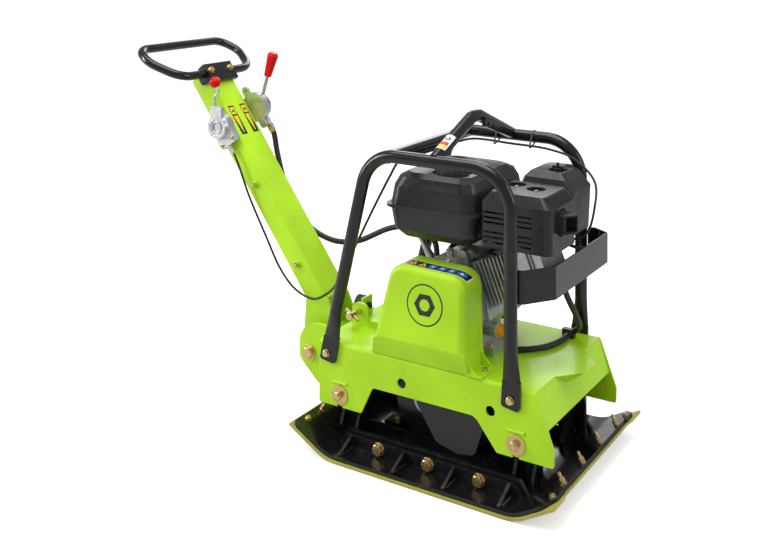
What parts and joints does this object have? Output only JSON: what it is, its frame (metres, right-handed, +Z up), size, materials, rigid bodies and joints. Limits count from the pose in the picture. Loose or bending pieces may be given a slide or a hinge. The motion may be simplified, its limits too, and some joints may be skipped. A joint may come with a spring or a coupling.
{
  "type": "plate compactor",
  "caption": "Reversible vibrating plate compactor: ribbed sole plate with rubber mat, sprung engine deck under a tube cage, and a tilting drawbar with grip loop and levers.",
  "frame": {"origin": "centre of the sole's contact patch, on the ground plane under the mat", "axes": "+X forward in the direction of travel, +Y to the operator's left, +Z up"},
  "size_m": [1.3685, 0.56, 0.9745],
  "materials": {
    "lime_paint": "semi-gloss powder coat",
    "black_paint": "gloss paint",
    "black_cover": "satin moulding",
    "grey_casting": "as cast, slightly rough",
    "cast_iron": "as cast",
    "plated_steel": "yellow zinc plate",
    "bare_steel": "machined",
    "rubber": "matt",
    "mat": "translucent cast polyurethane",
    "dark_plastic": "fine grain moulding",
    "tank_plastic": "satin moulding",
    "red_plastic": "polished moulding",
    "orange_plastic": "moulding"
  },
  "bodies": {
    "sole_plate": {"base_plate": "black_paint", "sole_mat": "mat", "extension_plate_left": "black_paint", "extension_plate_right": "black_paint", "extension_bolts": "plated_steel", "mat_bolts": "plated_steel", "rubber_mounts": "rubber", "exciter_housing": "black_paint", "exciter_covers": "black_paint", "exciter_bearings": "bare_steel", "phase_cylinder": "black_paint"},
    "front_exciter": {"eccentric_shaft_front": "bare_steel", "exciter_pulley": "cast_iron"},
    "rear_exciter": {"eccentric_shaft_rear": "bare_steel"},
    "upper_mass": {"hood": "lime_paint", "mount_bolts": "plated_steel", "cage_hoops": "black_paint", "cage_crossbar": "black_paint", "cage_bolts": "plated_steel", "lifting_bow": "black_paint", "belt_cover": "lime_paint", "belt_guard": "black_paint", "muffler_guard": "black_paint", "rubber_stop": "rubber", "pivot_bolt": "plated_steel", "v_belt": "rubber", "drain_hose": "rubber", "hose_clip": "black_paint", "crankcase": "grey_casting", "cylinder_block": "grey_casting", "rocker_cover": "grey_casting", "fuel_tank": "tank_plastic", "muffler": "black_paint", "muffler_cover": "black_cover", "air_cleaner": "black_cover", "carburettor": "grey_casting", "fan_housing": "black_cover", "engine_bolts": "plated_steel"},
    "crank": {"crankshaft": "bare_steel", "flywheel": "grey_casting", "clutch": "bare_steel"},
    "starter_grip": {"recoil_grip": "dark_plastic"},
    "tank_cap": {"fuel_cap": "dark_plastic"},
    "dipstick": {"oil_dipstick": "orange_plastic"},
    "stop_switch": {"engine_switch": "red_plastic"},
    "choke": {"choke_lever": "dark_plastic"},
    "drawbar_arm": {"drawbar": "lime_paint", "pivot_bushes": "rubber", "grip_loop": "black_paint", "grip_clamp": "black_paint", "throttle_housing": "grey_casting", "pump_housing": "grey_casting", "drawbar_bolts": "plated_steel", "throttle_cable": "rubber", "hydraulic_hose": "rubber"},
    "throttle": {"throttle_lever": "grey_casting", "throttle_knob": "red_plastic"},
    "direction": {"direction_lever": "bare_steel", "direction_grip": "red_plastic"},
    "transport_lock": {"lock_pin": "plated_steel"}
  },
  "joints": [
    {"name": "isolator_travel", "type": "slide", "parent": "sole_plate", "child": "upper_mass", "axis": [0, 0, 1], "range_m": [-0.004, 0.004], "stiffness_N_per_m": 600000, "springref_m": 0.0012, "deforming": ["rubber_mounts", "v_belt", "hydraulic_hose"]},
    {"name": "drawbar_pivot", "type": "hinge", "parent": "upper_mass", "child": "drawbar_arm", "pos_m": [-0.428, 0, 0.17], "axis": [0, 1, 0], "range_deg": [0, 32], "deforming": ["throttle_cable", "hydraulic_hose"]},
    {"name": "throttle_pivot", "type": "hinge", "parent": "drawbar_arm", "child": "throttle", "pos_m": [-0.773, -0.069, 0.742], "axis": [0, 1, 0], "range_deg": [-15, 45]},
    {"name": "direction_pivot", "type": "hinge", "parent": "drawbar_arm", "child": "direction", "pos_m": [-0.744, 0.078, 0.785], "axis": [0, 1, 0], "range_deg": [-35, 35]},
    {"name": "lock_pin_travel", "type": "slide", "parent": "upper_mass", "child": "transport_lock", "axis": [0, 1, 0], "range_m": [0, 0.018]},
    {"name": "crank_turn", "type": "hinge", "parent": "upper_mass", "child": "crank", "pos_m": [0.003, 0, 0.4], "axis": [0, 1, 0], "continuous": true},
    {"name": "front_exciter_turn", "type": "hinge", "parent": "sole_plate", "child": "front_exciter", "pos_m": [0.062, 0, 0.125], "axis": [0, 1, 0], "continuous": true},
    {"name": "rear_exciter_turn", "type": "hinge", "parent": "sole_plate", "child": "rear_exciter", "pos_m": [-0.062, 0, 0.125], "axis": [0, 1, 0], "continuous": true},
    {"name": "starter_pull", "type": "slide", "parent": "upper_mass", "child": "starter_grip", "axis": [-1, 0, 0], "range_m": [0, 0.45], "stiffness_N_per_m": 20, "springref_m": -0.05},
    {"name": "tank_cap_turn", "type": "hinge", "parent": "upper_mass", "child": "tank_cap", "pos_m": [-0.005, -0.062, 0.7], "axis": [0, 0, 1], "range_deg": [0, 90]},
    {"name": "dipstick_turn", "type": "hinge", "parent": "upper_mass", "child": "dipstick", "pos_m": [0.124, -0.06, 0.328], "axis": [1, 0, 0], "range_deg": [0, 360]},
    {"name": "stop_switch_turn", "type": "hinge", "parent": "upper_mass", "child": "stop_switch", "pos_m": [-0.112, 0.098, 0.499], "axis": [1, 0, 0], "range_deg": [0, 60]},
    {"name": "choke_turn", "type": "hinge", "parent": "upper_mass", "child": "choke", "pos_m": [0.228, 0.13, 0.51], "axis": [0, 1, 0], "range_deg": [0, 60]}
  ],
  "couplings": [
    {"joint": "front_exciter_turn", "follows": "crank_turn", "ratio": 1.4444},
    {"joint": "rear_exciter_turn", "follows": "crank_turn", "ratio": -1.4444}
  ]
}
